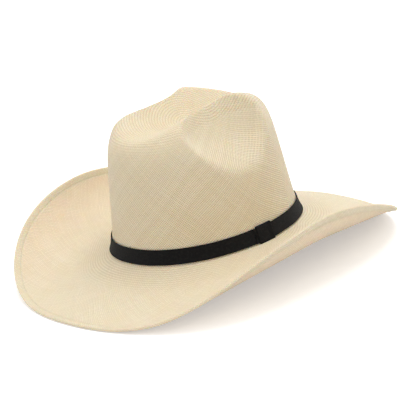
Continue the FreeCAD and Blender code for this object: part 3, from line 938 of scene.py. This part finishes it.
# %% Leather material
def leather_grain():
    tree, come, go = new_group("Leather grain", [("Place", VECTOR, None), ("Cells", FLOAT, 900.0)],
                               [("Height", FLOAT), ("Tone", FLOAT)])
    soft_spot = add(tree, "ShaderNodeTexNoise", come.outputs["Place"], None, 220.0, 2.0)
    shift = add(tree, "ShaderNodeVectorMath", soft_spot.outputs[1], (0.0012, 0.0012, 0.0012),
                operation="MULTIPLY")
    spot = add(tree, "ShaderNodeVectorMath", come.outputs["Place"], shift.outputs[0], operation="ADD")
    cells = add(tree, "ShaderNodeTexVoronoi", spot.outputs[0], feature="DISTANCE_TO_EDGE")
    tree.links.new(come.outputs["Cells"], cells.inputs["Scale"])
    pebble = ramp(tree, cells.outputs["Distance"], 0.0, 0.22)
    fine = add(tree, "ShaderNodeTexNoise", come.outputs["Place"], None, 3200.0, 2.0)
    tree.links.new(calc(tree, "MULTIPLY_ADD", fine.outputs[0], 0.15, pebble), go.inputs["Height"])
    cloud = add(tree, "ShaderNodeTexNoise", come.outputs["Place"], None, 45.0, 4.0, 0.6)
    patch = ramp(tree, cloud.outputs[0], 0.3, 0.75, 0.0, 0.75)
    tree.links.new(calc(tree, "MULTIPLY_ADD", pebble, 0.25, patch),
                   go.inputs["Tone"])
    return tree


leather_group = leather_grain()


def leather_material():
    material, tree, shader = new_material("Tan leather", Specular_IOR_Level=0.4)
    place = add(tree, "ShaderNodeTexCoord").outputs["Object"]
    chart = add(tree, "ShaderNodeSeparateXYZ", add(tree, "ShaderNodeUVMap", uv_map="Weave").outputs[0])
    grain = use_group(tree, leather_group, Place=place, Cells=900.0)
    colour = blend_colour(tree, grain.outputs["Tone"], (0.20, 0.10, 0.045, 1), (0.42, 0.24, 0.115, 1))
    rubbed = calc(tree, "MULTIPLY", ramp(tree, chart.outputs[1], 0.9, 1.0), 0.55)
    colour = blend_colour(tree, rubbed, colour, (0.58, 0.40, 0.23, 1))
    tree.links.new(colour, shader.inputs["Base Color"])
    rough = calc(tree, "MULTIPLY_ADD", grain.outputs["Height"], -0.18, 0.58)
    tree.links.new(rough, shader.inputs["Roughness"])
    bump = add(tree, "ShaderNodeBump", 0.7, 0.00012)
    tree.links.new(grain.outputs["Height"], bump.inputs["Height"])
    tree.links.new(bump.outputs[0], shader.inputs["Normal"])
    return material


tan_leather = leather_material()

# %% Leather band
leather, leather_foot, leather_height = 1.0, 0.9, 36.0
tape_radius, tape_gap, leather_clearance = 0.875, 0.125, 0.12
reed_depth = straw + 0.3 + tape_radius + tape_gap
leather_depth = reed_depth - tape_radius + tape_gap + leather_clearance


def level_line(height, depth):
    """A level line round the inside of the crown's wall."""
    return lambda a: on_wall(a, height, depth)


def leather_rows(count):
    line = level_line(10.0, leather_depth + leather)
    gap_turn = turn_for(line, math.pi, 0.3)
    section = [(0.0, 0.5)] + [(h, 1.0) for h in (0.008, 0.03, 0.1, 0.22, 0.36, 0.5, 0.64, 0.78, 0.9, 0.985)]
    section += [(1.0, 0.5)] + [(h, 0.0) for h in (0.985, 0.9, 0.78, 0.64, 0.5, 0.36, 0.22, 0.1, 0.03, 0.008)]
    table = []
    for i in range(count + 1):
        a = math.pi + gap_turn + (2 * math.pi - 2 * gap_turn) * i / count
        loose = 0.9 * noise.noise(Vector((math.cos(a) * 3.1, math.sin(a) * 3.1, 0.4))) + 0.5
        row = []
        for share, lift in section:
            sway = max(0.0, share - 0.2) ** 1.5 * loose
            row.append(on_wall(a, leather_foot + (leather_height - leather_foot) * share,
                               leather_depth + leather * lift + max(0.0, sway)))
        table.append(row)
    return table, section


leather_table, leather_section = leather_rows(300)


def leather_chart(face_row, row, k, turn):
    return (row * 2.0, leather_section[k][0]), (0.0, 0.0)


bm, rings = grow(leather_table, True, leather_chart)
close_end(bm, rings[0])
close_end(bm, rings[-1])
band = finish_piece(bm, "leather_sweatband", tan_leather)
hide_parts("sweatband")

# %% Sweatband stitches
tan_thread = thread_material("Tan thread", (0.30, 0.18, 0.09, 1), (0.62, 0.46, 0.29, 1))
foot_line = level_line(2.2, leather_depth + leather + 0.14)
foot_stitches = lay_stitches("sweatband_foot_stitches", tan_thread, [foot_line], 4.2, 3.2, 0.22,
                             keep=lambda a: abs(a - math.pi) > 0.03)
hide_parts("tape_stitching")
seam_row = level_line(4.2, -0.14)
seam_stitches = lay_stitches("crown_seam_stitches", straw_thread, [seam_row], 6.0, 4.4, 0.22)
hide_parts("seam_stitching")

# %% [markdown]
# ## Small parts that keep their solids
#
# The reed and its tape, the wire and its sleeve, the tacks, the strip behind the leather's joint
# and the little bow already have the right shape. They keep it, and only get a finish. Woven tape
# is drawn from threads that run level and threads that stand upright, counted by real distance.

# %% Tape, bow, reed and wire materials
def plain_cloth():
    tree, come, go = new_group("Plain cloth", [("Place", VECTOR, None), ("Thread", FLOAT, 0.0005)],
                               [("Height", FLOAT), ("Tone", FLOAT)])
    spot = add(tree, "ShaderNodeSeparateXYZ", come.outputs["Place"])
    turn = calc(tree, "MULTIPLY", calc(tree, "ARCTAN2", spot.outputs[1], spot.outputs[0]), 0.093)
    across = calc(tree, "MULTIPLY", calc(tree, "DIVIDE", turn, come.outputs["Thread"]), math.pi)
    up = calc(tree, "MULTIPLY", calc(tree, "DIVIDE", spot.outputs[2], come.outputs["Thread"]), math.pi)
    weave = calc(tree, "MULTIPLY", calc(tree, "SINE", across), calc(tree, "SINE", up))
    ridge = calc(tree, "ABSOLUTE", weave)
    fuzz = add(tree, "ShaderNodeTexNoise", come.outputs["Place"], None, 700.0, 3.0)
    tree.links.new(ridge, go.inputs["Height"])
    tree.links.new(calc(tree, "MULTIPLY_ADD", fuzz.outputs[0], 0.7, calc(tree, "MULTIPLY", ridge, 0.4)),
                   go.inputs["Tone"])
    return tree


cloth_group = plain_cloth()


def cloth_material(name, dark, light, thread, depth, **shader_values):
    material, tree, shader = new_material(name, **shader_values)
    place = add(tree, "ShaderNodeTexCoord").outputs["Object"]
    cloth = use_group(tree, cloth_group, Place=place, Thread=thread)
    colour = blend_colour(tree, ramp(tree, cloth.outputs["Tone"], 0.1, 0.9), dark, light)
    tree.links.new(colour, shader.inputs["Base Color"])
    rough = calc(tree, "MULTIPLY_ADD", cloth.outputs["Height"], -0.15, 0.8)
    tree.links.new(rough, shader.inputs["Roughness"])
    bump = add(tree, "ShaderNodeBump", 0.8, depth)
    tree.links.new(cloth.outputs["Height"], bump.inputs["Height"])
    tree.links.new(bump.outputs[0], shader.inputs["Normal"])
    return material


def streaked_material(name, dark, light, rough, scale, **shader_values):
    """Drawn wire or split reed: long faint streaks."""
    material, tree, shader = new_material(name, **shader_values)
    place = add(tree, "ShaderNodeTexCoord").outputs["Object"]
    streak = add(tree, "ShaderNodeTexNoise", place, None, scale, 4.0, 0.6)
    amount = ramp(tree, streak.outputs[0], 0.3, 0.7)
    tree.links.new(blend_colour(tree, amount, dark, light), shader.inputs["Base Color"])
    tree.links.new(calc(tree, "MULTIPLY_ADD", amount, 0.2, rough), shader.inputs["Roughness"])
    bump = add(tree, "ShaderNodeBump", 0.3, 0.00003)
    tree.links.new(amount, bump.inputs["Height"])
    tree.links.new(bump.outputs[0], shader.inputs["Normal"])
    return material


cotton_tape = cloth_material("Cotton tape", (0.42, 0.35, 0.25, 1), (0.66, 0.58, 0.44, 1), 0.0006, 0.0001,
                             Sheen_Weight=0.15)
finishes = {
    "reed_tape": cotton_tape,
    "sweatband_back_tape": cotton_tape,
    "sweatband_bow": cloth_material("Black satin ribbon", (0.008, 0.008, 0.009, 1), (0.03, 0.03, 0.033, 1),
                                    0.0004, 0.00005, Sheen_Weight=0.3),
    "band_tacks": cloth_material("Black thread", (0.01, 0.01, 0.01, 1), (0.035, 0.033, 0.032, 1),
                                 0.0002, 0.00005, Sheen_Weight=0.2),
    "sweatband_reed": streaked_material("Pale reed", (0.52, 0.46, 0.34, 1), (0.70, 0.64, 0.50, 1),
                                        0.45, 400.0),
    "brim_wire": streaked_material("Spring wire", (0.30, 0.30, 0.31, 1), (0.52, 0.52, 0.53, 1), 0.28, 1500.0,
                                   Metallic=1.0),
    "brim_wire_sleeve": streaked_material("Crimped sleeve", (0.42, 0.42, 0.42, 1), (0.60, 0.60, 0.60, 1),
                                          0.35, 900.0, Metallic=1.0),
}
for node, material in finishes.items():
    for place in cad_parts[node].material_slots:
        place.material = material
print(len(finishes), "solids keep their shape and get a finish")

# %% [markdown]
# ## Floor, light and camera
#
# The hat stands on a pale floor in soft studio light. A large lamp overhead and a bright, even
# surround give the open shade of a product table. The camera looks down a little at the front
# left of the hat, and leans slightly, so the brim's two dips sit at different heights.

# %% Floor
bm = bmesh.new()
bmesh.ops.create_grid(bm, x_segments=8, y_segments=8, size=6.0)
mesh = bpy.data.meshes.new("studio_floor")
bm.to_mesh(mesh)
bm.free()
floor = bpy.data.objects.new("studio_floor", mesh)
bpy.context.scene.collection.objects.link(floor)
floor_material, tree, shader = new_material("Pale floor", Roughness=0.9, Specular_IOR_Level=0.0,
                                            Emission_Color=(1.0, 0.95, 0.92, 1))
seen = add(tree, "ShaderNodeLightPath").outputs["Is Camera Ray"]
tree.links.new(calc(tree, "MULTIPLY", seen, 0.42), shader.inputs["Emission Strength"])
cloud = add(tree, "ShaderNodeTexNoise", add(tree, "ShaderNodeTexCoord").outputs["Object"], None, 3.0)
tree.links.new(blend_colour(tree, cloud.outputs[0], (0.90, 0.90, 0.90, 1), (0.92, 0.92, 0.92, 1)),
               shader.inputs["Base Color"])
mesh.materials.append(floor_material)

# %% Light
world = bpy.data.worlds.new("Studio surround")
bpy.context.scene.world = world
world.use_nodes = True
world.node_tree.nodes["Background"].inputs["Color"].default_value = (1.0, 1.0, 1.0, 1)
world.node_tree.nodes["Background"].inputs["Strength"].default_value = 0.86


def lamp(name, place, aim, size, power):
    """A round lamp that the camera does not see."""
    light = bpy.data.lights.new(name, "AREA")
    light.shape = "DISK"
    light.size = size
    light.energy = power
    thing = bpy.data.objects.new(name, light)
    direction = Vector(aim) - Vector(place)
    thing.visible_camera = False
    facing = direction.to_track_quat("-Z", "Y").to_matrix().to_4x4()
    thing.matrix_world = Matrix.Translation(place) @ facing
    bpy.context.scene.collection.objects.link(thing)


lamp("overhead_lamp", (0.15, 0.25, 1.7), (0, 0, 0.05), 1.1, 13.0)
bpy.context.scene.view_settings.view_transform = "Standard"

# %% Camera
low, high = Vector(cad_low), Vector(cad_high)
share = Vector((0.5277, 0.4956, 0.3265))
target = low + Vector(a * b for a, b in zip(high - low, share))
azimuth, elevation, lean = math.radians(48.99), math.radians(18.03), math.radians(-9.15)
distance = 1.81364
back = Vector((math.sin(azimuth) * math.cos(elevation), -math.cos(azimuth) * math.cos(elevation),
               math.sin(elevation)))
right = Vector((math.cos(azimuth), math.sin(azimuth), 0))
up = back.cross(right)
right, up = math.cos(lean) * right + math.sin(lean) * up, math.cos(lean) * up - math.sin(lean) * right
camera_data = bpy.data.cameras.new("camera")
camera_data.lens, camera_data.sensor_width = 158.24, 36.0
camera = bpy.data.objects.new("camera", camera_data)
turn = Matrix((right, up, back)).transposed().to_4x4()
camera.matrix_world = Matrix.Translation(target + back * distance) @ turn
bpy.context.scene.collection.objects.link(camera)
bpy.context.scene.camera = camera
print("camera aims at", [round(c * 1000, 1) for c in target], "mm")
